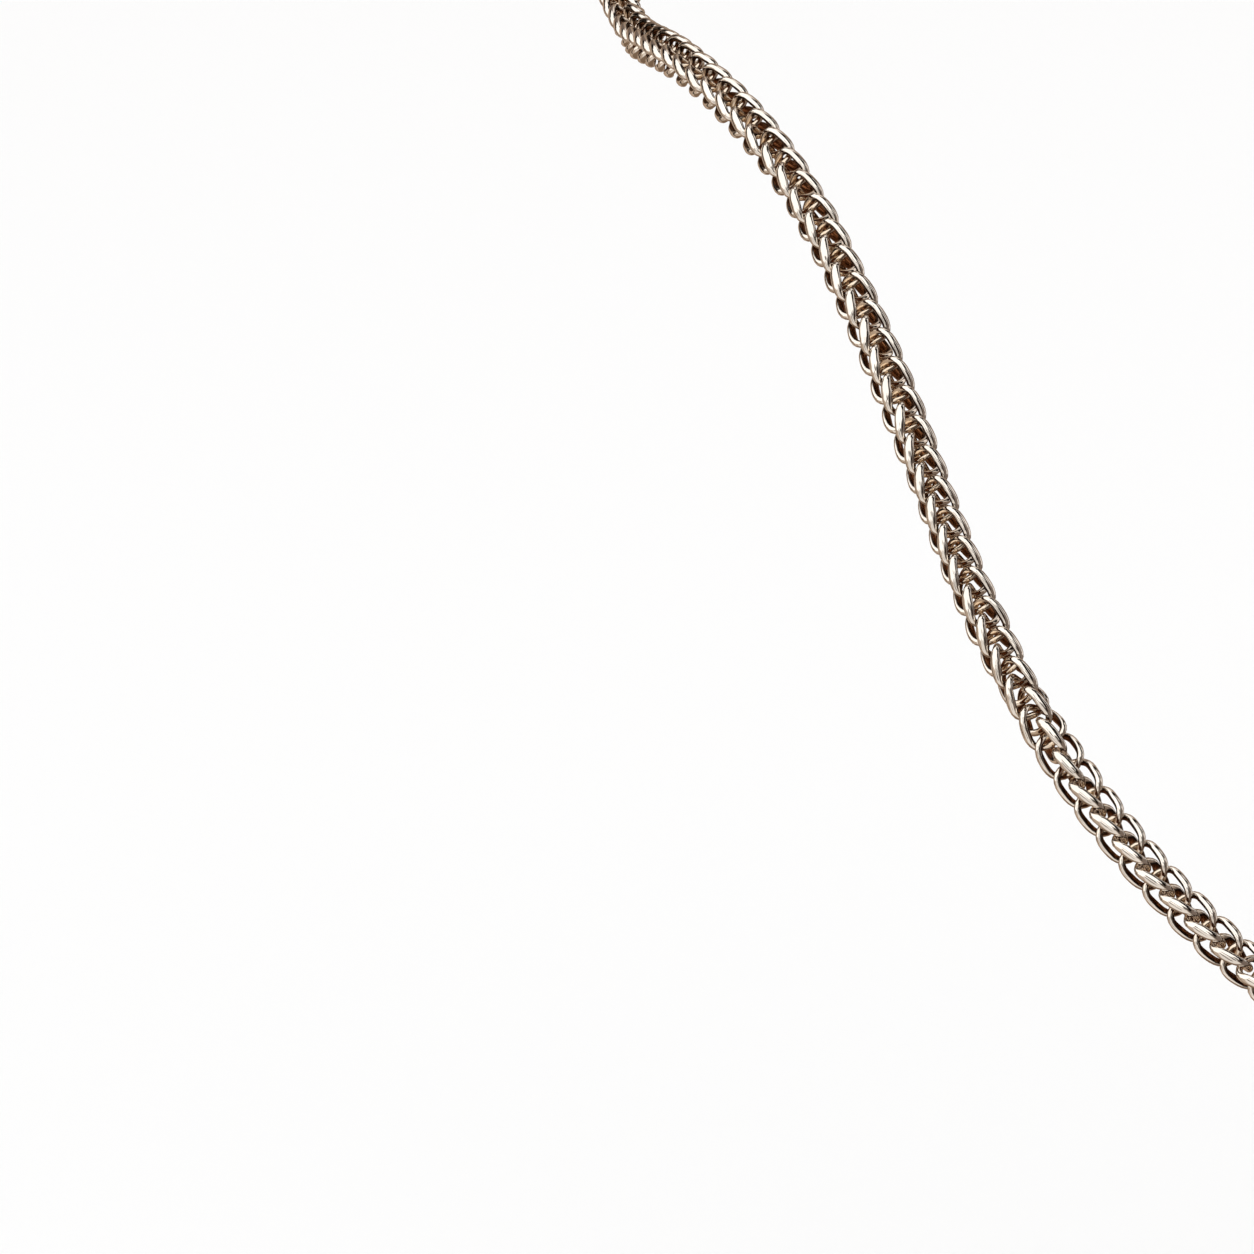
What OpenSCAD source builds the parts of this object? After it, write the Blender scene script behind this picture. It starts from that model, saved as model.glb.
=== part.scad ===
// Wheat chain necklace: a closed loop in its worn form, in millimetres.
// The origin is the middle of the clasp at the nape, +Z is up and -Y is the wearer's front.
// Each half of the chain is a plain tube of the chain's width along its route.

/* [Chain] */
// Width of the woven chain across its links
chain_w = 3.2; // [2.8:0.1:3.4]
// Sides of the tube that stands for the woven chain
chain_sides = 8; // [8:2:12]
// Rings of the tube for each space between two route points
rings_per_point = 2; // [1:1:3]

/* [Clasp] */
// Length of the barrel clasp
clasp_len = 12; // [11:0.5:14]
// Diameter of the barrel clasp
clasp_d = 5; // [4.6:0.1:6]
// Depth of the socket in each end of the clasp
socket_depth = 2.6; // [2:0.1:2.6]
// Play between the chain and its socket, all round
socket_play = 0.2; // [0.15:0.05:0.3]

/* [Finish] */
// Colour of the polished metal
metal = "#c9bdb0"; // [#c9bdb0, #d8d2cc, #d9b45a]

/* [Hidden] */

// Route points of one half, hand set, from the nape round the neck to the front.
// Each row is across, along and up; the curve runs smoothly near them.
ROUTE = [
  [0, 0, 0],
  [7, 0, 0],
  [14.5, -0.5, -0.5],
  [27, -2.5, -4.5],
  [39, -7, -9.5],
  [50, -14, -15],
  [58, -23.5, -21],
  [62.5, -35, -27],
  [63, -47, -33.5],
  [61, -58, -37],
  [59, -69, -36],
  [54.5, -79, -38.5],
  [49.5, -88, -43.5],
  [45, -96, -52],
  [41, -103, -61.5],
  [37.5, -109.5, -71],
  [32, -115.5, -80.5],
  [24, -120, -90],
  [14, -123.5, -98],
  [4.5, -125, -101.5]
];
last = len(ROUTE) - 1;

// Where the chain leaves the bottom of its socket, and where its halves meet in front
chain_start = 0.5;
chain_end = last + 0.5;

// A point inside the loop that every ring of the tube turns its first corner away from
loop_middle = [0, -62, -50];

// Barrel shape: flat end rims, a rounded shoulder and a shallow band at the middle
clasp_r = clasp_d / 2;
rim_r = chain_w / 2 + socket_play + 0.25;
rim_len = 0.8;
shoulder_len = 1.6;
band_w = 1;
band_depth = 0.15;
shoulder_steps = 8;
socket_r = chain_w / 2 + socket_play;

function mirrored(p) = [-p[0], p[1], p[2]];

// The route point with any whole index: the list goes on as its mirror image at both ends
function route(i) =
  i < 0 ? mirrored(ROUTE[-i])
  : i > last ? mirrored(ROUTE[2 * last + 1 - i])
  : ROUTE[i];

// Uniform cubic B-spline through the space beside route point u
function curve(u) =
  let (i = floor(u), t = u - i)
  (pow(1 - t, 3) * route(i - 1)
   + (3 * pow(t, 3) - 6 * pow(t, 2) + 4) * route(i)
   + (-3 * pow(t, 3) + 3 * pow(t, 2) + 3 * t + 1) * route(i + 1)
   + pow(t, 3) * route(i + 2)) / 6;

function unit(v) = v / norm(v);

function tangent(u) = unit(curve(u + 0.01) - curve(u - 0.01));

// One ring of the tube: corners on a circle square to the route
function ring(u) =
  let (
    p = curve(u),
    t = tangent(u),
    side = unit(cross(t, p - loop_middle)),
    out = cross(side, t)
  )
  [for (k = [0:chain_sides - 1])
    let (a = 360 * k / chain_sides)
    p + chain_w / 2 * (cos(a) * out + sin(a) * side)];

// Half of the chain: rings joined by side faces, with a flat cap at each end
module chain_half() {
  steps = round((chain_end - chain_start) * rings_per_point);
  n = chain_sides;
  corners = [
    for (j = [0:steps])
      each ring(chain_start + (chain_end - chain_start) * j / steps)
  ];
  sides = [
    for (j = [0:steps - 1], k = [0:n - 1])
      [j * n + k, j * n + (k + 1) % n, (j + 1) * n + (k + 1) % n, (j + 1) * n + k]
  ];
  near_cap = [[for (k = [0:n - 1]) n - 1 - k]];
  far_cap = [[for (k = [0:n - 1]) steps * n + k]];
  polyhedron(points = corners, faces = concat(sides, near_cap, far_cap));
}

module chain_left() {
  color(metal) mirror([1, 0, 0]) chain_half();
}

module chain_right() {
  color(metal) chain_half();
}

// Outline of the barrel from its middle to one end, radius first
function barrel_side() = concat(
  [[clasp_r - band_depth, 0], [clasp_r - band_depth, band_w / 2], [clasp_r, band_w / 2 + band_depth]],
  [for (s = [0:shoulder_steps])
    let (a = 90 * s / shoulder_steps)
    [rim_r + (clasp_r - rim_r) * cos(a),
     clasp_len / 2 - rim_len - shoulder_len + shoulder_len * sin(a)]],
  [[rim_r, clasp_len / 2]]
);

module clasp() {
  side = barrel_side();
  other_side = [for (i = [len(side) - 1:-1:1]) [side[i][0], -side[i][1]]];
  color(metal)
  rotate([0, 90, 0])
  difference() {
    rotate_extrude($fn = 64)
      polygon(concat([[0, -clasp_len / 2]], other_side, side, [[0, clasp_len / 2]]));
    for (end = [0, 1])
      mirror([0, 0, end])
        translate([0, 0, clasp_len / 2 - socket_depth])
          cylinder(h = socket_depth + 1, r = socket_r, $fn = 64);
  }
}

chain_left();
chain_right();
clasp();
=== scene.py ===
"""Wheat chain necklace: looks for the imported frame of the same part.

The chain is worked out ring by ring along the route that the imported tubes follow. A ring
is a loop of wire with two outer bars, on opposite sides of the chain, that cross through
its middle at both ends. Each ring is half a pitch from the last one, turned by a quarter
and of the other hand, and is hooked through the two before it and the two after it.
Lengths are in metres, in the frame of the part, unless a comment says millimetres.
"""

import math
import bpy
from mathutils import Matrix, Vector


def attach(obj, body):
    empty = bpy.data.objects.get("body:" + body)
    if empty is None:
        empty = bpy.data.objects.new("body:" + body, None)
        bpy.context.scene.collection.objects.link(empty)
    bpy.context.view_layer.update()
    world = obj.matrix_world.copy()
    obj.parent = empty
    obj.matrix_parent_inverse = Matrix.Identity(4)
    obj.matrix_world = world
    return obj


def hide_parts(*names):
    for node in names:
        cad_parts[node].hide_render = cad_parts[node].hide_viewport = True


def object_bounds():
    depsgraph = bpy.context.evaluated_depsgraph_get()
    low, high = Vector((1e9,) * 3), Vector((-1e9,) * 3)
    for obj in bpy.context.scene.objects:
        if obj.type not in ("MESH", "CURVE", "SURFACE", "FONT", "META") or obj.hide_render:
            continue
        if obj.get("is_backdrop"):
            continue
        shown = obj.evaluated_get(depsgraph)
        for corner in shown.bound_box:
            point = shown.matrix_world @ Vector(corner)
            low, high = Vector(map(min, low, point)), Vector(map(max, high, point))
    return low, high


bl_info = {
    "name": "Wheat Chain Necklace",
    "version": (1, 0, 0),
    "blender": (4, 5, 0),
    "location": "3D View > Sidebar > Necklace",
    "description": "Builds the links, the metal and the studio of a wheat chain necklace",
    "category": "Add Mesh",
}

import bpy
import numpy as np
from bpy.props import FloatProperty, FloatVectorProperty, IntProperty, PointerProperty
from bpy.types import Operator, Panel, PropertyGroup
from mathutils import Vector

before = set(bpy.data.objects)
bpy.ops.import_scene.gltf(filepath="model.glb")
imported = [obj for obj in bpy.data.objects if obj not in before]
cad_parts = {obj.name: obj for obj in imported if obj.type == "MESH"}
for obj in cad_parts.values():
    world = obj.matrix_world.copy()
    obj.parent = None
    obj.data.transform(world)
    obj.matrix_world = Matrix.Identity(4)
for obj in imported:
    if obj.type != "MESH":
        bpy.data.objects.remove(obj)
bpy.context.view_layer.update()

MM = 0.001

# Route points of one half in millimetres, from the nape round the neck to the front.
ROUTE = [
    (0, 0, 0), (7, 0, 0), (14.5, -0.5, -0.5), (27, -2.5, -4.5), (39, -7, -9.5),
    (50, -14, -15), (58, -23.5, -21), (62.5, -35, -27), (63, -47, -33.5), (61, -58, -37),
    (59, -69, -36), (54.5, -79, -38.5), (49.5, -88, -43.5), (45, -96, -52), (41, -103, -61.5),
    (37.5, -109.5, -71), (32, -115.5, -80.5), (24, -120, -90), (14, -123.5, -98),
    (4.5, -125, -101.5),
]

# Where the chain starts in its socket, counted in route points from the nape.
CHAIN_START = 0.5

# Rows of the table that holds the chain's curve.
CHAIN_SAMPLES = 6000

# A point inside the loop that the chain's first column turns away from at zero roll.
LOOP_MIDDLE = (0, -62, -50)

# Roll of the weave about the chain, by route points from the nape down the left half,
# over the front and up the right half, in degrees.
ROLL_STATIONS = [
    (0, -50), (9.5, -52), (11.7, -56), (12.5, -70), (13.5, -72), (14.2, -66), (15.45, -64),
    (15.95, -4), (16.5, 9), (17.5, 18), (22, 12), (27, -20), (39, -50),
]

# Share of the whole chain, each way, over which the roll is evened out.
ROLL_EASE = 0.012

# Waves of the loose chain's own twist, each by its length in millimetres and size in degrees.
ROLL_WAVES = ((23, 3), (8.5, 2))

# The wire's middle at angle t once round a ring. Reach is out through the two bars, by
# cosines of t, 3t and 5t, and sweep is round the chain, by sines of 2t, 4t and 6t. Both are
# in millimetres. Rise is along the chain, by the sine of t, in pitches.
RING_REACH = (1.42, -0.075, -0.02)
RING_SWEEP = (0.35, -0.035, -0.02)
RING_RISE = 0.625

# Angle in radians, each way from a point of the wire, that its direction is measured over.
RING_STEP = 0.001

# Usual slope of a ring's random tilt.
RING_TILT = 0.01

# Seed of the small random differences, and the most that one is, in usual ones.
CHANCE_SEED = 11
CHANCE_LIMIT = 2

# Least distance that a direction away from the chain's axis is divided by.
AXIS_RADIUS = 0.01 * MM

# How much the wires that cross on the axis lose in unshaded polish, so that more painted shade
# falls on them.
CROSSING_LOSS = 0.1

# Where the grip flutes of the clasp are, in millimetres each way from its middle: their
# middle, half their length and the length over which they run out.
CLASP_GRIP = (1.95, 0.95, 0.3)

# Rows of the clasp's outline along its grip, round a shoulder and round a small corner.
GRIP_ROWS = 16
SHOULDER_ROWS = 10
CORNER_ROWS = 3

# The most of a side of the outline that the rounding of its corner takes.
CORNER_SHARE = 0.45

# How much the bottom of a flute loses in unshaded polish, so that painted shade darkens it.
FLUTE_LOSS = 1.5

# Tone of a piece that has only one.
EVEN_TONE = 0.5

# Darkest and lightest tone of the metal, as parts of its tint.
TONES = (0.95, 1.04)

# Noise that breaks the edge of the painted shade: its scale, its detail and its share in unshaded
# polish.
SHADE_NOISE_SCALE = 2600.0
SHADE_NOISE_DETAIL = 3.0
SHADE_NOISE_SHARE = 0.3

# Unshaded polish between which the painted shade deep inside turns to the painted shade on the
# wires' sides, counted from where the painted shade ends.
INNER_TO_SIDE_SHADE = (-0.35, 0.05)

# Fine lines in the metal: how many run across each direction of the wire and of the clasp's
# coordinates in metres, the detail of their noise, and their strength and height.
WIRE_LINES = (2, 18, 1)
CLASP_LINES = (12000, 160, 160)
LINE_DETAIL = 2.0
LINE_STRENGTH = 0.5
LINE_HEIGHT = 0.02 * MM

# Camera: sensor width in millimetres, and the nearest and farthest that it sees.
SENSOR_WIDTH = 36
CAMERA_CLIP = (0.01, 20)

# Floor: how far it reaches each way, how far it lies below the necklace, and its roughness.
FLOOR_REACH = 6.0
FLOOR_DROP = 0.02
FLOOR_ROUGHNESS = 0.9

# Points of the tent round the horizon, and from bottom to top.
TENT_STEPS = (240, 120)

# Light from the bare cloth of the tent.
TENT_CLOTH = (0.2, 0.155, 0.13)

# Soft boxes and dark strips of the tent: azimuth from the camera's side to the right,
# height above the horizon, half width, half height, tilt and soft edge in degrees, and light.
TENT_PANELS = [
    (-165, -40, 46, 60, 0, 10, (0.22, 0.15, 0.1)),
    (-45, 38, 60, 60, 0, 6, (1.36, 1.33, 1.29)),
    (-40, -34, 54, 32, 0, 6, (0.52, 0.42, 0.34)),
    (-26, -26, 32, 34, 0, 5, (0.88, 0.83, 0.78)),
    (17, 4, 12, 34, 18, 6, (0.1, 0.08, 0.065)),
    (-36, -10, 4, 24, 24, 4, (0.1, 0.08, 0.065)),
    (-17, 15, 4, 26, 45, 2, (0.05, 0.04, 0.03)),
    (-138, -14, 50, 30, 0, 4, (0.54, 0.43, 0.34)),
    (120, 38, 34, 44, 0, 5, (0.98, 0.92, 0.88)),
    (164, 8, 22, 40, 0, 8, (0.42, 0.33, 0.26)),
    (52, 50, 12, 50, -30, 4, (0.006, 0.004, 0.003)),
    (96, 48, 8, 44, 0, 5, (0.006, 0.004, 0.003)),
    (134, 26, 7, 46, 0, 5, (0.012, 0.008, 0.006)),
    (-122, 4, 8, 44, 20, 5, (0.006, 0.004, 0.003)),
]


class ChainSizes(PropertyGroup):
    """Sizes of the woven chain and of its rings."""

    pitch: FloatProperty(
        name="Ring Pitch", description="Distance from a ring to the next but one",
        default=2.45 * MM, min=2.3 * MM, max=2.6 * MM, unit="LENGTH")
    wire: FloatProperty(
        name="Wire Diameter", description="Diameter of the wire where it crosses the middle",
        default=0.5 * MM, min=0.4 * MM, max=0.6 * MM, unit="LENGTH")
    bar_width: FloatProperty(
        name="Bar Width", description="Width of the pressed outer bars of a ring",
        default=0.8 * MM, min=0.5 * MM, max=0.95 * MM, unit="LENGTH")
    bar_depth: FloatProperty(
        name="Bar Depth", description="Thickness of the pressed outer bars of a ring",
        default=0.58 * MM, min=0.4 * MM, max=0.8 * MM, unit="LENGTH")
    end_room: FloatProperty(
        name="End Room", description="From the chain's end to the middle of its last ring",
        default=2.45 * MM, min=2.4 * MM, max=4 * MM, unit="LENGTH")
    turn_play: FloatProperty(
        name="Turn Play", description="Usual random turn of a ring about the chain",
        default=math.radians(2.3), min=0.0, max=math.radians(4), subtype="ANGLE")
    slide_play: FloatProperty(
        name="Slide Play", description="Most that a ring is moved along the chain",
        default=0.02 * MM, min=0.0, max=0.045 * MM, unit="LENGTH")
    bar_square: FloatProperty(
        name="Bar Squareness", description="How much the pressed bar's section bulges diagonally",
        default=0.03, min=0.0, max=0.2)
    bar_from: FloatProperty(
        name="Bar From", description="Distance from the chain's axis where its bars begin",
        default=0.9 * MM, min=0.5 * MM, max=1.2 * MM, unit="LENGTH")
    steps_along: IntProperty(
        name="Steps Along", description="Cage faces along the wire of one ring",
        default=16, min=12, max=20)
    steps_round: IntProperty(
        name="Steps Round", description="Cage faces round the wire",
        default=6, min=5, max=8)


class ClaspSizes(PropertyGroup):
    """Sizes of the barrel clasp and of the marks cut into it."""

    length: FloatProperty(
        name="Clasp Length", description="Length of the barrel",
        default=12 * MM, min=11 * MM, max=14 * MM, unit="LENGTH")
    radius: FloatProperty(
        name="Clasp Radius", description="Radius of the barrel's body",
        default=2.5 * MM, min=2.3 * MM, max=3 * MM, unit="LENGTH")
    rim_radius: FloatProperty(
        name="Rim Radius", description="Radius of the barrel's ends",
        default=2.05 * MM, min=2 * MM, max=2.2 * MM, unit="LENGTH")
    rim_length: FloatProperty(
        name="Rim Length", description="Length of the straight rim at each end",
        default=0.8 * MM, min=0.5 * MM, max=1 * MM, unit="LENGTH")
    shoulder_length: FloatProperty(
        name="Shoulder Length", description="Length of the rounded part before the rim",
        default=1.6 * MM, min=1 * MM, max=2 * MM, unit="LENGTH")
    socket_radius: FloatProperty(
        name="Socket Radius", description="Radius of the hole in each end",
        default=1.8 * MM, min=1.7 * MM, max=1.9 * MM, unit="LENGTH")
    socket_depth: FloatProperty(
        name="Socket Depth", description="Depth of the hole in each end",
        default=2.6 * MM, min=2 * MM, max=2.6 * MM, unit="LENGTH")
    band_width: FloatProperty(
        name="Band Width", description="Width of the low band round the barrel's middle",
        default=1 * MM, min=0.6 * MM, max=1.2 * MM, unit="LENGTH")
    band_depth: FloatProperty(
        name="Band Depth", description="Depth of the low band round the barrel's middle",
        default=0.15 * MM, min=0.1 * MM, max=0.2 * MM, unit="LENGTH")
    seam_depth: FloatProperty(
        name="Seam Depth", description="Depth of the seam where the two parts screw together",
        default=0.12 * MM, min=0.0, max=0.15 * MM, unit="LENGTH")
    line_depth: FloatProperty(
        name="Line Depth", description="Depth of the turned line before each shoulder",
        default=0.07 * MM, min=0.0, max=0.1 * MM, unit="LENGTH")
    flute_depth: FloatProperty(
        name="Flute Depth", description="Depth of the grip flutes",
        default=0.08 * MM, min=0.0, max=0.1 * MM, unit="LENGTH")
    flutes: IntProperty(
        name="Flutes", description="Grip flutes round the barrel",
        default=36, min=12, max=60)
    corner: FloatProperty(
        name="Corner", description="How far from a corner its rounding begins",
        default=0.06 * MM, min=0.01 * MM, max=0.1 * MM, unit="LENGTH")
    steps_round: IntProperty(
        name="Steps Round", description="Faces round the barrel, an even number",
        default=216, min=48, max=288)


class MetalLooks(PropertyGroup):
    """Colours and finish of the polished metal."""

    tint: FloatVectorProperty(
        name="Metal Tint", description="Colour of the polished metal face on",
        default=(0.87, 0.815, 0.75), min=0.0, max=1.0, subtype="COLOR")
    edge: FloatVectorProperty(
        name="Edge Tint", description="Colour of the polished metal at a glancing angle",
        default=(0.74, 0.67, 0.61), min=0.0, max=1.0, subtype="COLOR")
    # Painted shade: the dark brown deep inside the chain, where the wires hide each other from the
    # light and mirror each other's warm colour.
    inner_shade: FloatVectorProperty(
        name="Shade", description="Colour of the shaded metal deep inside the chain",
        default=(0.21, 0.085, 0.035), min=0.0, max=1.0, subtype="COLOR")
    # Painted shade: a darker, warmer tint where the wires cross deep inside the chain.
    deep: FloatVectorProperty(
        name="Deep Tint", description="Colour of the clean metal where the wires cross inside",
        default=(0.76, 0.62, 0.47), min=0.0, max=1.0, subtype="COLOR")
    # Painted shade: the near-black on the sides of the wires that face into the chain.
    shadow: FloatVectorProperty(
        name="Shadow", description="Colour of the dark film on the sides of the wires",
        default=(0.022, 0.012, 0.008), min=0.0, max=1.0, subtype="COLOR")
    # Bounds of the painted shade, by the part of the normal that faces out: below the first the
    # shade is full, past the second the polish is full.
    unshaded_from: FloatProperty(
        name="Unshaded From", description="Part of the normal facing out where the film ends",
        default=-0.36, min=-1.0, max=1.0)
    unshaded_to: FloatProperty(
        name="Unshaded To", description="Part of the normal facing out where the polish is full",
        default=0.0, min=-1.0, max=1.0)
    roughness: FloatProperty(
        name="Polish", description="Roughness of the polished metal",
        default=0.05, min=0.02, max=0.5, subtype="FACTOR")
    dullness: FloatProperty(
        name="Dullness", description="Roughness of the tarnish deep inside the chain",
        default=0.2, min=0.05, max=0.8, subtype="FACTOR")
    clasp_roughness: FloatProperty(
        name="Clasp Polish", description="Roughness of the clasp's turned metal",
        default=0.11, min=0.02, max=0.5, subtype="FACTOR")


class StudioSettings(PropertyGroup):
    """Camera and lights round the necklace."""

    camera_distance: FloatProperty(
        name="Camera Distance", description="From the camera to the middle of the view",
        default=0.6, min=0.3, max=2.0, unit="LENGTH")
    camera_drop: FloatProperty(
        name="Camera Drop", description="How far the camera looks down",
        default=math.radians(10), min=0.0, max=math.radians(60), subtype="ANGLE")
    view_width: FloatProperty(
        name="View Width", description="Width of the view at the middle of the view",
        default=87.8 * MM, min=0.02, max=0.5, unit="LENGTH")
    aim: FloatVectorProperty(
        name="Aim", description="The middle of the view",
        default=(-61.7 * MM, -105 * MM, -73 * MM), subtype="TRANSLATION")
    tent_radius: FloatProperty(
        name="Tent Radius", description="From the middle of the view to the light tent",
        default=1.2, min=0.8, max=3.0, unit="LENGTH")
    floor_colour: FloatVectorProperty(
        name="Floor Colour", description="Colour of the plain floor",
        default=(0.9, 0.9, 0.9), min=0.0, max=1.0, subtype="COLOR")
    room_light: FloatProperty(
        name="Room Light", description="Strength of the white light on the floor",
        default=1.13, min=0.0, max=4.0)


def mirrored(point):
    """The same point on the other half of the loop."""
    return (-point[0], point[1], point[2])


def loop_points():
    """Route points once round the closed loop, from the nape down the viewer's left side."""
    left = [mirrored(p) for p in ROUTE]
    right = [ROUTE[i] for i in range(len(ROUTE) - 1, 0, -1)]
    return np.array(left + right, float) * MM


def spline(u):
    """Uniform cubic B-spline near the loop's points: four neighbours weighted by cubics in u."""
    points = loop_points()
    n = len(points)
    i = np.floor(u).astype(int)
    t = (u - i)[:, None]
    weights = (
        (1 - t) ** 3,
        3 * t ** 3 - 6 * t ** 2 + 4,
        -3 * t ** 3 + 3 * t ** 2 + 3 * t + 1,
        t ** 3,
    )
    return sum(w * points[(i + k - 1) % n] for k, w in enumerate(weights)) / 6


def unit(vectors):
    """The same directions with a length of 1."""
    return vectors / np.linalg.norm(vectors, axis=-1, keepdims=True)


def chain_frames():
    """Dense table along the chain: arc length, centre, two directions square to it, and roll.

    Out is the direction from a point inside the loop, less its part along the chain, and
    side is square to both. Roll runs evenly between its stations, is eased and has its waves
    added.
    """
    n = len(loop_points())
    u = np.linspace(CHAIN_START, n - CHAIN_START, CHAIN_SAMPLES)
    centre = spline(u)
    tangent = unit(np.gradient(centre, axis=0))
    away = centre - np.array(LOOP_MIDDLE) * MM
    out = unit(away - (away * tangent).sum(1, keepdims=True) * tangent)
    side = np.cross(tangent, out)
    step = np.linalg.norm(np.diff(centre, axis=0), axis=1)
    arc = np.concatenate([[0.0], np.cumsum(step)])
    at, degrees = np.array(ROLL_STATIONS, float).T
    roll = eased(np.interp(u, at, degrees), ROLL_EASE)
    roll = roll + sum(size * np.sin(2 * np.pi * arc / (long * MM)) for long, size in ROLL_WAVES)
    return {"arc": arc, "centre": centre, "out": out, "side": side, "roll": np.radians(roll)}


def eased(values, share):
    """Each value averaged with those up to a share of them away, weighted by a sine arch."""
    reach = int(len(values) * share)
    arch = np.sin(np.pi * (np.arange(2 * reach + 1) + 1) / (2 * reach + 2))
    padded = np.pad(values, reach, mode="edge")
    return np.convolve(padded, arch / arch.sum(), mode="valid")


def bend(local, frames):
    """Carries points (across, side, along) of a straight chain onto the route.

    A point is turned about the chain by the roll at its length along it, and is then laid
    off from the centre there, across by the direction out and sideways by the side.
    """
    s = local[..., 2]
    turn = np.interp(s, frames["arc"], frames["roll"])
    across = local[..., 0] * np.cos(turn) - local[..., 1] * np.sin(turn)
    aside = local[..., 0] * np.sin(turn) + local[..., 1] * np.cos(turn)

    def at(name):
        table = frames[name]
        return np.stack([np.interp(s, frames["arc"], table[:, k]) for k in range(3)], axis=-1)

    return at("centre") + across[..., None] * at("out") + aside[..., None] * at("side")


def ring_centreline(t, pitch):
    """Middle of the wire at angle t: reach, sweep and rise, each a sum of a few waves."""
    reach = sum(size * np.cos(k * t) for size, k in zip(RING_REACH, (1, 3, 5)))
    sweep = sum(size * np.sin(k * t) for size, k in zip(RING_SWEEP, (2, 4, 6)))
    rise = RING_RISE * np.sin(t)
    return np.stack([reach * MM, sweep * MM, rise * pitch], axis=-1)


def ring_cage(sizes):
    """Cage of one ring about the chain's axis, steps_along by steps_round by 3, polish and depth.

    The wire's section is an ellipse that faces away from the ring's middle, as wide as the
    pressed bar where cos t is 1 or -1 and round where it is 0, by the fourth power of cos t,
    and a little squarer by the square of the sine of twice its angle. The cage is pushed out
    wave by wave, so that its subdivided surface goes through the wire's.
    Depth is 1 less the square of the distance from the chain's axis, counted in bar_from, so
    it is 1 on the axis and 0 in the bars. Unshaded polish is the part of the surface's normal
    that faces away from the axis, and by the share of depth the part that faces out of the
    ring's plane, less a small loss, because the wire crosses the axis there. Where it is low,
    on the sides that face into the chain, the material paints shade and makes the metal rougher.
    """
    n, m = sizes.steps_along, sizes.steps_round
    t = np.arange(n) * 2 * np.pi / n
    line = ring_centreline(t, sizes.pitch)
    after = ring_centreline(t + RING_STEP, sizes.pitch)
    before = ring_centreline(t - RING_STEP, sizes.pitch)
    tangent = unit(after - before)
    outward = unit(line - (line * tangent).sum(1, keepdims=True) * tangent)
    across = np.cross(tangent, outward)
    bar = np.cos(t) ** 4
    half_wide = (sizes.wire + (sizes.bar_width - sizes.wire) * bar) / 2
    half_deep = (sizes.wire + (sizes.bar_depth - sizes.wire) * bar) / 2
    a = (np.arange(m) + 0.5) * 2 * np.pi / m
    square = 1 + sizes.bar_square * bar[:, None] * np.sin(2 * a) ** 2
    wide = square * half_wide[:, None] * np.cos(a)
    deep = square * half_deep[:, None] * np.sin(a)
    cage = (
        line[:, None, :] + wide[..., None] * across[:, None, :]
        + deep[..., None] * outward[:, None, :]
    )
    normal = unit(
        (half_deep[:, None] * np.cos(a))[..., None] * across[:, None, :]
        + (half_wide[:, None] * np.sin(a))[..., None] * outward[:, None, :])
    radius = np.hypot(line[:, 0], line[:, 1])
    radial = line[:, :2] / np.maximum(radius, AXIS_RADIUS)[:, None]
    far = np.clip(radius / sizes.bar_from, 0, 1)[:, None] ** 2
    # Painted shade: a low value on the sides that face into the chain makes the material paint them
    # dark.
    unshaded_polish = (
        far * (normal[..., :2] * radial[:, None, :]).sum(2)
        + (1 - far) * (np.abs(normal[..., 1]) - CROSSING_LOSS)
    )
    wave_t = np.fft.fftfreq(n) * 2 * np.pi
    wave_a = np.fft.fftfreq(m) * 2 * np.pi
    keep = ((2 + np.cos(wave_t)) / 3)[:, None] * ((2 + np.cos(wave_a)) / 3)[None, :]
    waves = np.fft.fft2(cage, axes=(0, 1)) / keep[..., None]
    return np.fft.ifft2(waves, axes=(0, 1)).real, unshaded_polish, np.broadcast_to(1 - far, unshaded_polish.shape)


def ring_faces(n, m):
    """Quads of a surface that closes both ways, n rows by m steps, and their UV corners."""
    i, j = np.meshgrid(np.arange(n), np.arange(m), indexing="ij")
    corner_i = np.stack([i, i + 1, i + 1, i], axis=-1)
    corner_j = np.stack([j, j, j + 1, j + 1], axis=-1)
    faces = (corner_i % n) * m + corner_j % m
    uv = np.stack([corner_i / n, corner_j / m], axis=-1)
    return faces.reshape(-1, 4), uv.reshape(-1, 4, 2)


def volume_sign(points, faces):
    """Sign of the volume inside quads: the sum of corner products about the middle."""
    p = points.reshape(-1, 3) - points.reshape(-1, 3).mean(0)
    a, b, c, d = (p[faces[:, k]] for k in range(4))
    total = (np.cross(a, b) * c).sum() + (np.cross(a, c) * d).sum()
    return 1 if total > 0 else -1


def usual_play(chance, shape):
    """Bell-shaped random numbers, most of them between -1 and 1 and none past the limit."""
    return np.clip(chance.normal(0, 1, shape), -CHANCE_LIMIT, CHANCE_LIMIT)


def ring_places(sizes, frames):
    """Every ring's place: along the chain, azimuth, hand and tilts, and its tone.

    The rings are half a pitch apart, a quarter turn from one to the next and of alternate
    hands, each with a small random slide, turn and tilt.
    """
    room = frames["arc"][-1] - 2 * sizes.end_room
    count = int(room / (sizes.pitch / 2)) + 1
    order = np.arange(count)
    odd = order % 2
    quarter = math.radians(90)
    chance = np.random.default_rng(CHANCE_SEED)
    slide = chance.uniform(-1, 1, count) * sizes.slide_play
    turn = usual_play(chance, count) * sizes.turn_play
    tilts = usual_play(chance, (count, 2)) * RING_TILT
    return {
        "along": sizes.end_room + room * order / (count - 1) + slide,
        "azimuth": quarter / 2 + quarter * odd + turn,
        "hand": 1.0 - 2.0 * odd,
        "tilts": tilts,
        "tone": chance.uniform(0, 1, count),
    }


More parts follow.
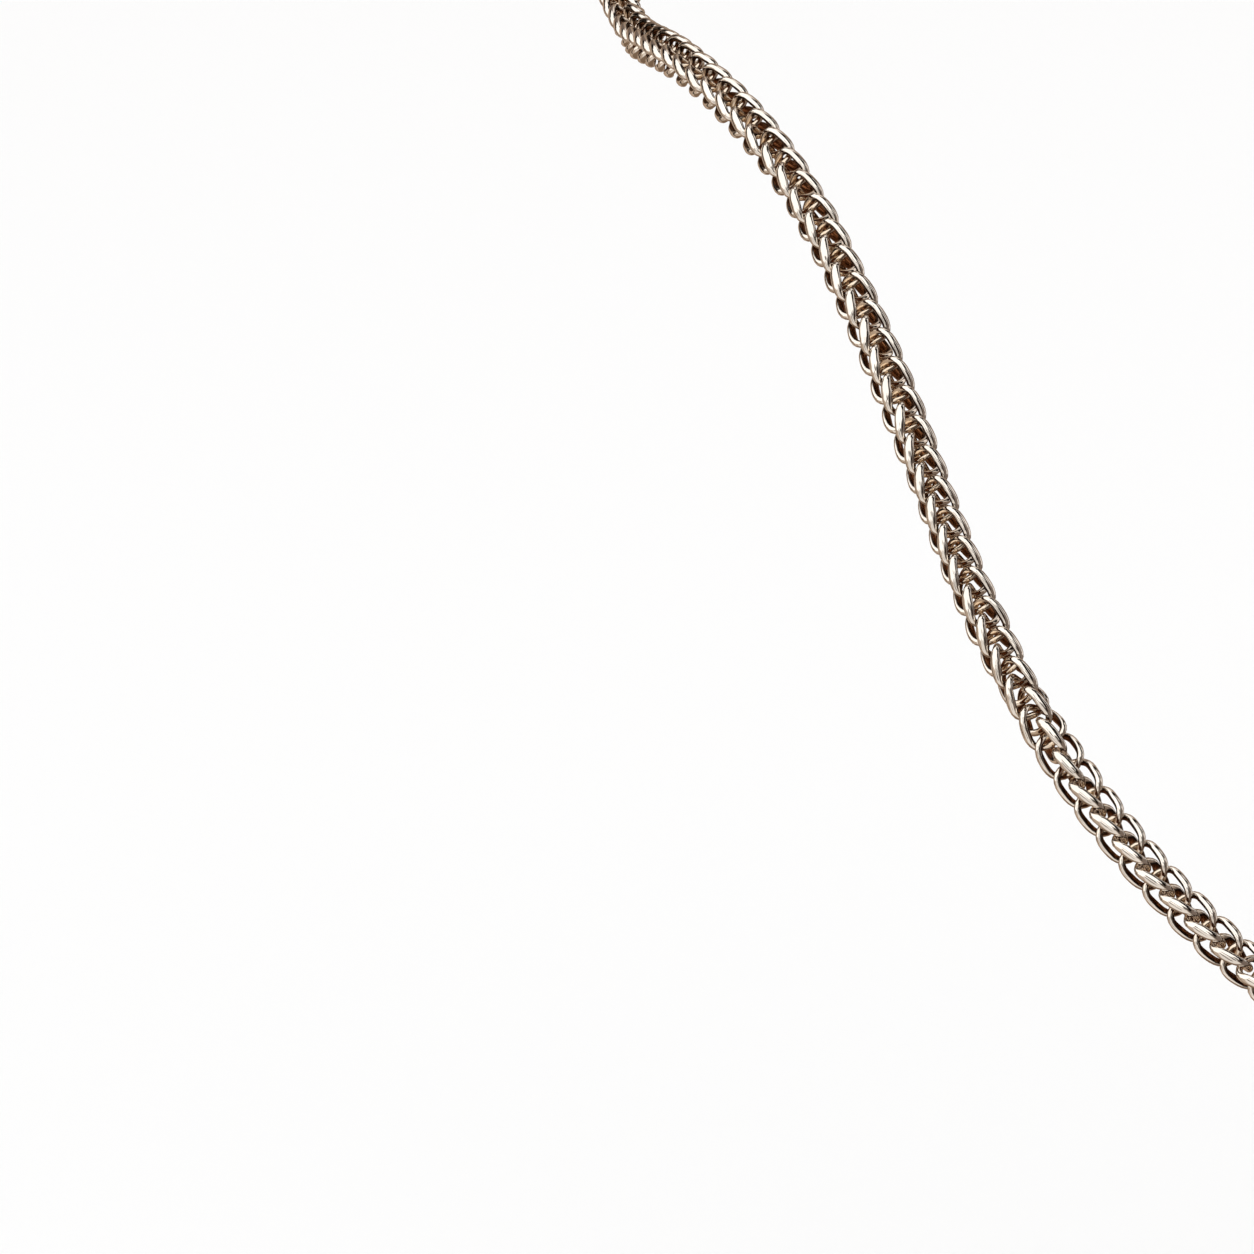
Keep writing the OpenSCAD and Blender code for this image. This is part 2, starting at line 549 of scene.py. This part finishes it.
def joined_rings(places, chosen, sizes, frames, name):
    """One mesh of many rings: the cage tilted, turned to its place, moved along and bent.

    A ring of the other hand is the same cage mirrored from side to side, with its faces
    turned round.
    """
    cage, unshaded_polish, depth = ring_cage(sizes)
    n, m = cage.shape[:2]
    faces, uv = ring_faces(n, m)
    if volume_sign(cage, faces) < 0:
        faces, uv = faces[:, ::-1], uv[:, ::-1]

    def each(key):
        return places[key][chosen][:, None, None]

    hand, azimuth, along = each("hand"), each("azimuth"), each("along")
    tilts = places["tilts"][chosen][:, None, None, :]
    x, y, z = cage[None, ..., 0], cage[None, ..., 1] * hand, cage[None, ..., 2]
    x, y, z = (
        x - tilts[..., 0] * z,
        y - tilts[..., 1] * z,
        z + tilts[..., 0] * x + tilts[..., 1] * y,
    )
    local = np.stack([
        x * np.cos(azimuth) - y * np.sin(azimuth),
        x * np.sin(azimuth) + y * np.cos(azimuth),
        z + along,
    ], axis=-1)
    points = bend(local, frames).reshape(-1, 3)
    count = len(hand)
    turned = hand[:, 0, 0] < 0
    all_faces = np.where(turned[:, None, None], faces[None, :, ::-1], faces[None])
    all_faces = all_faces + (np.arange(count) * n * m)[:, None, None]
    all_uv = np.where(turned[:, None, None, None], uv[None, :, ::-1], uv[None])
    mesh = bpy.data.meshes.new(name)
    fill_mesh(mesh, points, all_faces.reshape(-1, 4))
    layer = mesh.uv_layers.new(name="wire")
    layer.data.foreach_set("uv", all_uv.reshape(-1).astype(np.float32))
    add_values(mesh, "unshaded_polish", np.tile(unshaded_polish.reshape(-1), count))
    add_values(mesh, "depth", np.tile(depth.reshape(-1), count))
    add_values(mesh, "tone", np.repeat(places["tone"][chosen], n * m))
    return add_object(name, mesh)


def clasp_outline(sizes):
    """Rows of the barrel's outline: along, radius and polish, from socket floor to socket floor.

    The body is straight between shoulders that follow a quarter of an ellipse down to the
    rims. Round the middle is a low band with a seam, and before each shoulder is a turned
    line, a notch twice as wide as it is deep. One side is listed from the middle to the
    socket and is mirrored to the other. Unshaded polish is 1 on the outside and -1 in a
    groove or a socket, where the material paints shade.
    """
    end, body, rim = sizes.length / 2, sizes.radius, sizes.rim_radius
    band, low = sizes.band_width / 2, sizes.radius - sizes.band_depth
    seam, line, hole = sizes.seam_depth, sizes.line_depth, sizes.socket_radius
    start = end - sizes.rim_length - sizes.shoulder_length
    floor = end - sizes.socket_depth
    angle = np.radians(np.linspace(0, 90, SHOULDER_ROWS))
    shoulder = np.stack([
        start + sizes.shoulder_length * np.sin(angle),
        rim + (body - rim) * np.cos(angle),
        np.ones(len(angle)),
    ], axis=-1)
    grip = np.linspace(band + 2 * sizes.band_depth, start - 4 * line, GRIP_ROWS)
    straight = np.stack([grip, np.full(GRIP_ROWS, body), np.ones(GRIP_ROWS)], axis=-1)
    side = np.concatenate([
        [(0, low - seam, -1), (seam, low, 1), (band, low, 1), (band + sizes.band_depth, body, 1)],
        straight,
        [(start - 3 * line, body, 1), (start - 2 * line, body - line, -1), (start - line, body, 1)],
        shoulder,
        [(end, rim, 1), (end, hole, 0.5), (floor, hole, -1), (floor, hole / 2, -1)],
    ])
    return np.concatenate([side[:0:-1] * (-1, 1, 1), side])


def softened(rows, reach):
    """Outline rows with a small curve for every corner, starting a short reach from it.

    The curve is quadratic, with the corner as its middle control point.
    """
    before, corner, after = rows[:-2], rows[1:-1], rows[2:]

    def towards(other):
        gap = np.linalg.norm((other - corner)[:, :2], axis=1, keepdims=True)
        return corner + (other - corner) * np.minimum(reach / gap, CORNER_SHARE)

    s = np.linspace(0, 1, CORNER_ROWS)[:, None, None]
    curve = (1 - s) ** 2 * towards(before) + 2 * s * (1 - s) * corner + s ** 2 * towards(after)
    return np.concatenate([rows[:1], curve.transpose(1, 0, 2).reshape(-1, 3), rows[-1:]])


def clasp_mesh(sizes):
    """Barrel about the X axis on a grid of outline rows by steps round, closed by two floors.

    The radius at angle a is the outline's, less the flutes' depth times the fourth power of
    the sine of half their angle, and the flutes run out smoothly at both ends. A floor is
    laid in strips from one side of its circle to the other.
    """
    rows = softened(clasp_outline(sizes), sizes.corner)
    n, m = len(rows), sizes.steps_round
    along, radius, unshaded_polish = (rows[:, k:k + 1] for k in range(3))
    middle, half, run = (size * MM for size in CLASP_GRIP)
    fade = np.clip((half - abs(abs(along) - middle)) / run, 0, 1)
    a = np.arange(m) * 2 * np.pi / m
    cut = fade ** 2 * (3 - 2 * fade) * np.sin(sizes.flutes * a / 2) ** 4
    radius = radius - sizes.flute_depth * cut
    points = np.stack([
        np.broadcast_to(along, radius.shape), radius * np.cos(a), radius * np.sin(a)], axis=-1)
    faces = ring_faces(n, m)[0].reshape(n, m, 4)[:-1].reshape(-1, 4)
    k = np.arange(m // 2 - 1)
    floor = np.stack([k, k + 1, m - 2 - k, m - 1 - k], axis=-1)
    faces = np.concatenate([faces, floor, floor[:, ::-1] + (n - 1) * m])
    if volume_sign(points, faces) < 0:
        faces = faces[:, ::-1]
    mesh = bpy.data.meshes.new("barrel_clasp")
    fill_mesh(mesh, points.reshape(-1, 3), faces)
    # Painted shade: the flute bottoms get a lower value, so the material paints them darker.
    add_values(mesh, "unshaded_polish", (unshaded_polish - FLUTE_LOSS * cut).reshape(-1))
    add_values(mesh, "tone", np.full(n * m, EVEN_TONE))
    return mesh


def add_object(name, data):
    """A new object of the scene with this mesh or camera, at the origin."""
    made = bpy.data.objects.new(name, data)
    bpy.context.scene.collection.objects.link(made)
    return made


def add_values(mesh, name, values):
    """A number at every point of a mesh, for its material."""
    layer = mesh.attributes.new(name, "FLOAT", "POINT")
    layer.data.foreach_set("value", np.asarray(values, np.float32))


def fill_mesh(mesh, points, faces):
    """Puts faces, all with the same number of corners, into an empty mesh, shaded smooth."""
    corners = faces.shape[1]
    mesh.vertices.add(len(points))
    mesh.vertices.foreach_set("co", points.reshape(-1).astype(np.float32))
    mesh.loops.add(faces.size)
    mesh.loops.foreach_set("vertex_index", faces.reshape(-1).astype(np.int32))
    mesh.polygons.add(len(faces))
    mesh.polygons.foreach_set("loop_start", np.arange(0, faces.size, corners, dtype=np.int32))
    mesh.polygons.foreach_set("use_smooth", np.ones(len(faces), bool))
    mesh.update(calc_edges=True)
    mesh.validate()


def add_node(tree, kind, **settings):
    """A new shader node; a setting names an attribute of the node, or else one of its inputs."""
    node = tree.nodes.new(kind)
    for name, value in settings.items():
        if hasattr(node, name):
            setattr(node, name, value)
        else:
            node.inputs[name.replace("_", " ").title()].default_value = value
    return node


def blend(tree, factor, first, second):
    """Mix of two colours, each three numbers or the output of another node."""
    node = add_node(tree, "ShaderNodeMix", data_type="RGBA")
    tree.links.new(factor, node.inputs["Factor"])
    for socket, colour in (("A", first), ("B", second)):
        if isinstance(colour, bpy.types.NodeSocket):
            tree.links.new(colour, node.inputs[socket])
        else:
            node.inputs[socket].default_value = (*colour, 1.0)
    return node.outputs["Result"]


def ranged(tree, value, **ends):
    """A value carried from one range to another; the ends are settings of the node."""
    node = add_node(tree, "ShaderNodeMapRange", **ends)
    tree.links.new(value, node.inputs["Value"])
    return node.outputs["Result"]


def value_of(tree, name):
    """A number that the mesh holds at its points."""
    return add_node(tree, "ShaderNodeAttribute", attribute_name=name).outputs["Fac"]


def white_gold(name, looks, roughness, lines_map, line_counts):
    """Warm white gold with a dark film where the "polish" attribute is low.

    The dark colours where that attribute is low are painted shade, on the sides that face into
    the piece, and a fine noise breaks their edge. The "tone" attribute makes the metal a little
    darker or lighter. Where "depth" is high the metal takes its deep tint, a painted shade of
    the wires crossing inside; a mesh without it has none. The fine lines follow the UV map
    named, or with "" the piece's own coordinates.
    """
    material = bpy.data.materials.new(name)
    material.use_nodes = True
    tree = material.node_tree
    link = tree.links.new
    shader = tree.nodes["Principled BSDF"]
    shader.inputs["Metallic"].default_value = 1.0
    shader.inputs["Specular Tint"].default_value = (*looks.edge, 1.0)

    place = add_node(tree, "ShaderNodeTexCoord").outputs["Object"]
    # Painted shade: noise that makes the edge of the dark colours uneven.
    shade_noise = add_node(tree, "ShaderNodeTexNoise", scale=SHADE_NOISE_SCALE, detail=SHADE_NOISE_DETAIL)
    link(place, shade_noise.inputs["Vector"])
    uneven = add_node(tree, "ShaderNodeMath", operation="MULTIPLY_ADD")
    link(shade_noise.outputs["Fac"], uneven.inputs[0])
    uneven.inputs[1].default_value = SHADE_NOISE_SHARE
    link(value_of(tree, "unshaded_polish"), uneven.inputs[2])
    unshaded_polish = uneven.outputs["Value"]
    # Painted shade: 0 where the dark colours are painted and 1 on the bright metal; it also sets
    # the roughness.
    bright = ranged(
        tree, unshaded_polish, interpolation_type="SMOOTHSTEP",
        from_min=looks.unshaded_from + SHADE_NOISE_SHARE / 2, from_max=looks.unshaded_to + SHADE_NOISE_SHARE / 2)
    side_shade_from, side_shade_to = (looks.unshaded_from + step for step in INNER_TO_SIDE_SHADE)
    inner = ranged(tree, unshaded_polish, from_min=side_shade_from, from_max=side_shade_to)

    dark, light = ([min(1.0, part * tone) for part in looks.tint] for tone in TONES)
    metal = blend(tree, value_of(tree, "tone"), dark, light)
    # Painted shade: the deep tint darkens and warms the metal where the wires cross inside.
    metal = blend(tree, value_of(tree, "depth"), metal, looks.deep)
    # Painted shade: brown deep inside the chain, turning to near-black on the sides of the wires.
    painted_shade = blend(tree, inner, looks.inner_shade, looks.shadow)
    link(blend(tree, bright, painted_shade, metal), shader.inputs["Base Color"])
    link(ranged(tree, bright, to_min=looks.dullness, to_max=roughness), shader.inputs["Roughness"])

    stretch = add_node(tree, "ShaderNodeVectorMath", operation="MULTIPLY")
    if lines_map:
        wire = add_node(tree, "ShaderNodeUVMap", uv_map=lines_map)
        link(wire.outputs["UV"], stretch.inputs[0])
    else:
        link(place, stretch.inputs[0])
    stretch.inputs[1].default_value = line_counts
    drawn = add_node(tree, "ShaderNodeTexNoise", scale=1.0, detail=LINE_DETAIL)
    link(stretch.outputs["Vector"], drawn.inputs["Vector"])
    bump = add_node(tree, "ShaderNodeBump", strength=LINE_STRENGTH, distance=LINE_HEIGHT)
    link(drawn.outputs["Fac"], bump.inputs["Height"])
    link(bump.outputs["Normal"], shader.inputs["Normal"])
    return material


class NECKLACE_OT_rings(Operator):
    """Works out every ring of the chain and puts them in place of the tubes"""

    bl_idname = "necklace.rings"
    bl_label = "Chain Rings"

    def execute(self, context):
        sizes = context.scene.necklace_chain
        looks = context.scene.necklace_metal
        metal = white_gold("drawn_gold", looks, looks.roughness, "wire", WIRE_LINES)
        frames = chain_frames()
        places = ring_places(sizes, frames)
        front = frames["arc"][-1] / 2
        halves = {"left": places["along"] <= front, "right": places["along"] > front}
        for side, inside in halves.items():
            for row, hand in (("even", 1), ("odd", -1)):
                chosen = inside & (places["hand"] == hand)
                piece = joined_rings(places, chosen, sizes, frames, f"{side}_{row}_rings")
                piece.data.materials.append(metal)
                smooth = piece.modifiers.new("round", "SUBSURF")
                smooth.levels = smooth.render_levels = 1
                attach(piece, "root")
                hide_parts(f"chain_{side}")
        return {"FINISHED"}


class NECKLACE_OT_clasp(Operator):
    """Works out the turned barrel with its seam and flutes and puts it in place of the plain one"""

    bl_idname = "necklace.clasp"
    bl_label = "Barrel Clasp"

    def execute(self, context):
        looks = context.scene.necklace_metal
        mesh = clasp_mesh(context.scene.necklace_clasp)
        metal = white_gold("turned_gold", looks, looks.clasp_roughness, "", CLASP_LINES)
        mesh.materials.append(metal)
        clasp = add_object("barrel_clasp", mesh)
        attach(clasp, "root")
        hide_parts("clasp")
        return {"FINISHED"}


class NECKLACE_OT_studio(Operator):
    """Sets up the pale floor, the soft lights and the camera"""

    bl_idname = "necklace.studio"
    bl_label = "Studio"

    def execute(self, context):
        settings = context.scene.necklace_studio
        add_camera(context, settings)
        add_floor(settings)
        add_tent(settings)
        add_room_light(context, settings)
        return {"FINISHED"}


def add_camera(context, settings):
    """Camera that looks along +Y and down, set back from the aim point."""
    aim = Vector(settings.aim)
    drop = settings.camera_drop
    back = Vector((0, -math.cos(drop), math.sin(drop)))
    data = bpy.data.cameras.new("camera")
    data.sensor_width = SENSOR_WIDTH
    data.lens = SENSOR_WIDTH * settings.camera_distance / settings.view_width
    camera = add_object("camera", data)
    camera.location = aim + back * settings.camera_distance
    camera.rotation_euler = (-back).to_track_quat("-Z", "Y").to_euler()
    data.clip_start, data.clip_end = CAMERA_CLIP
    context.scene.camera = camera


def add_floor(settings):
    """Large pale floor below the necklace. The metal mirrors the tent and not the floor."""
    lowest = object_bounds()[0].z
    mesh = bpy.data.meshes.new("floor")
    reach, z = FLOOR_REACH, lowest - FLOOR_DROP
    corners = [(-reach, -reach, z), (reach, -reach, z), (reach, reach, z), (-reach, reach, z)]
    mesh.from_pydata(corners, [], [(0, 1, 2, 3)])
    floor = add_object("floor", mesh)
    floor.visible_glossy = False
    material = bpy.data.materials.new("floor_white")
    material.use_nodes = True
    shader = material.node_tree.nodes["Principled BSDF"]
    shader.inputs["Base Color"].default_value = (*settings.floor_colour, 1.0)
    shader.inputs["Roughness"].default_value = FLOOR_ROUGHNESS
    mesh.materials.append(material)
    floor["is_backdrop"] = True


def tent_glow(direction):
    """Light from the tent in each direction: the panels laid over its cloth one by one.

    A panel covers the directions whose two angles from its middle, turned by its tilt, are
    inside its half sizes, with edges as wide as its softness.
    """
    glow = np.broadcast_to(np.array(TENT_CLOTH), direction.shape).copy()
    for azimuth, height, half_wide, half_high, tilt, soft, colour in TENT_PANELS:
        a, e, lean = math.radians(azimuth), math.radians(height), math.radians(tilt)
        middle = np.array([math.sin(a) * math.cos(e), -math.cos(a) * math.cos(e), math.sin(e)])
        level = np.array([math.cos(a), math.sin(a), 0.0])
        right = level * math.cos(lean) + np.cross(middle, level) * math.sin(lean)
        up = np.cross(middle, right)
        ahead = direction @ middle
        aside = np.degrees(np.arctan2(direction @ right, ahead))
        above = np.degrees(np.arctan2(direction @ up, ahead))
        cover = (
            np.clip((half_wide - abs(aside)) / soft + 0.5, 0, 1)
            * np.clip((half_high - abs(above)) / soft + 0.5, 0, 1)
            * (ahead > 0)
        )[..., None]
        glow = glow * (1 - cover) + np.array(colour) * cover
    return glow


def add_tent(settings):
    """Round tent of soft boxes and dark strips that only the metal mirrors.

    A sphere on a grid of azimuth and height, with its light worked out at every point.
    """
    wide, high = TENT_STEPS
    azimuth = np.arange(wide) * 2 * np.pi / wide
    height = (np.arange(high) + 0.5) * np.pi / high - np.pi / 2
    a, e = np.meshgrid(azimuth, height, indexing="ij")
    direction = np.stack([np.cos(e) * np.sin(a), -np.cos(e) * np.cos(a), np.sin(e)], axis=-1)
    i, j = np.meshgrid(np.arange(wide), np.arange(high - 1), indexing="ij")
    faces = np.stack([
        i * high + j, i * high + j + 1,
        (i + 1) % wide * high + j + 1, (i + 1) % wide * high + j,
    ], axis=-1).reshape(-1, 4)
    mesh = bpy.data.meshes.new("tent")
    fill_mesh(mesh, (direction * settings.tent_radius).reshape(-1, 3) + settings.aim, faces)
    glow = np.ones((wide * high, 4), np.float32)
    glow[:, :3] = tent_glow(direction).reshape(-1, 3)
    layer = mesh.attributes.new("glow", "FLOAT_COLOR", "POINT")
    layer.data.foreach_set("color", glow.reshape(-1))
    tent = add_object("tent", mesh)
    for ray in ("camera", "diffuse", "transmission", "volume_scatter", "shadow"):
        setattr(tent, f"visible_{ray}", False)
    material = bpy.data.materials.new("tent_light")
    material.use_nodes = True
    tree = material.node_tree
    tree.nodes.clear()
    colour = add_node(tree, "ShaderNodeAttribute", attribute_name="glow")
    light = add_node(tree, "ShaderNodeEmission")
    output = add_node(tree, "ShaderNodeOutputMaterial")
    tree.links.new(colour.outputs["Color"], light.inputs["Color"])
    tree.links.new(light.outputs["Emission"], output.inputs["Surface"])
    material.cycles.emission_sampling = "NONE"
    mesh.materials.append(material)
    tent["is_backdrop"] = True


def add_room_light(context, settings):
    """White surroundings that light the floor."""
    world = bpy.data.worlds.new("studio")
    context.scene.world = world
    world.use_nodes = True
    background = world.node_tree.nodes["Background"]
    background.inputs["Color"].default_value = (1, 1, 1, 1)
    background.inputs["Strength"].default_value = settings.room_light
    context.scene.view_settings.view_transform = "Standard"


class NECKLACE_PT_panel(Panel):
    """Sidebar list of the necklace's steps"""

    bl_idname = "NECKLACE_PT_panel"
    bl_label = "Wheat Chain Necklace"
    bl_space_type = "VIEW_3D"
    bl_region_type = "UI"
    bl_category = "Necklace"

    def draw(self, context):
        for step in STEPS:
            self.layout.operator(step.bl_idname)


STEPS = (NECKLACE_OT_rings, NECKLACE_OT_clasp, NECKLACE_OT_studio)
GROUPS = (ChainSizes, ClaspSizes, MetalLooks, StudioSettings)
CLASSES = GROUPS + STEPS + (NECKLACE_PT_panel,)


def register():
    """Registers the classes and hangs the sizes on the scene."""
    for cls in CLASSES:
        bpy.utils.register_class(cls)
    bpy.types.Scene.necklace_chain = PointerProperty(type=ChainSizes)
    bpy.types.Scene.necklace_clasp = PointerProperty(type=ClaspSizes)
    bpy.types.Scene.necklace_metal = PointerProperty(type=MetalLooks)
    bpy.types.Scene.necklace_studio = PointerProperty(type=StudioSettings)


def unregister():
    """Takes the sizes off the scene and unregisters the classes."""
    del bpy.types.Scene.necklace_studio
    del bpy.types.Scene.necklace_metal
    del bpy.types.Scene.necklace_clasp
    del bpy.types.Scene.necklace_chain
    for cls in reversed(CLASSES):
        bpy.utils.unregister_class(cls)


def main():
    """Builds the necklace and its studio."""
    register()
    bpy.ops.necklace.rings()
    bpy.ops.necklace.clasp()
    bpy.ops.necklace.studio()


if __name__ == "__main__":
    main()
